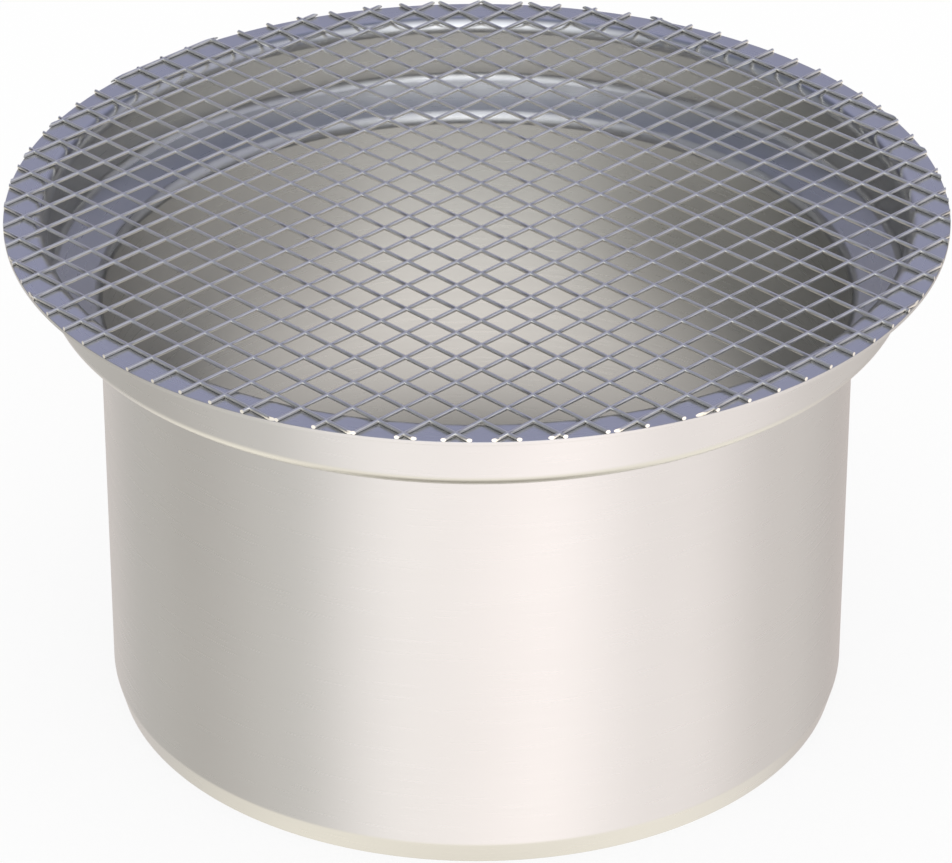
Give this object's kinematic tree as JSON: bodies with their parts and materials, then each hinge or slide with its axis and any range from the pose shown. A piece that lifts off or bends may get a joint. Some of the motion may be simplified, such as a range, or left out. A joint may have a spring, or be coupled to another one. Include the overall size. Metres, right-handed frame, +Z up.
{
  "type": "chimney spark arrester",
  "caption": "Round stepped sheet-metal flue collar with a flat flange and a square wire mesh welded over its mouth to stop sparks.",
  "frame": {"origin": "centre of the collar's lower rim, on the surface that it stands on", "axes": "+Z up along the flue, from the narrow spigot to the screen; the screen's wires run at 45 degrees to X and Y"},
  "size_m": [0.354, 0.354, 0.2025],
  "materials": {
    "collar_steel": "satin",
    "screen_wire": "satin"
  },
  "bodies": {
    "root": {"collar": "collar_steel", "spark_screen": "screen_wire"}
  },
  "joints": []
}
